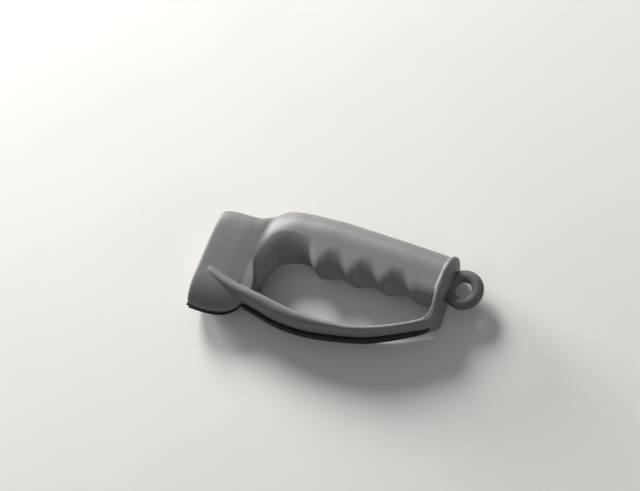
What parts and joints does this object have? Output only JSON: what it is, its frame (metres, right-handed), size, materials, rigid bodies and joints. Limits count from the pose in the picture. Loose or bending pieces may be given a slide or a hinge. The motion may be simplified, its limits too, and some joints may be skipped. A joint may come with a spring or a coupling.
{
  "type": "pull-through knife sharpener",
  "caption": "Hand-held pull-through knife sharpener with a finger guard, a finger-grooved handle, crossed carbide blades in a guide slot and a hanging eye.",
  "frame": {"origin": "bottom centre of the bounding box, as the sharpener lies on its side: the middle of its length and height, on the surface under its far side", "axes": "+X along the handle from the sharpening head to the hanging eye, +Y from the finger guard and the knife slot up to the back of the handle, +Z across the thickness from the far shell to the near shell"},
  "size_m": [0.1396, 0.0642, 0.021],
  "materials": {
    "grey_shell": "fine satin moulded grey plastic",
    "black_block": "matte black moulded plastic",
    "black_strip": "soft matte black",
    "eye_plastic": "satin dark grey moulded plastic",
    "carbide": "ground hard metal",
    "screw_steel": "zinc plated steel"
  },
  "bodies": {
    "root": {"near_shell": "grey_shell", "far_shell": "grey_shell", "guide_block_front": "black_block", "guide_block_rear": "black_block", "carbide_near": "carbide", "carbide_far": "carbide", "block_screws": "screw_steel", "guard_strip": "black_strip", "hanging_eye": "eye_plastic", "shell_screws": "screw_steel"}
  },
  "joints": []
}
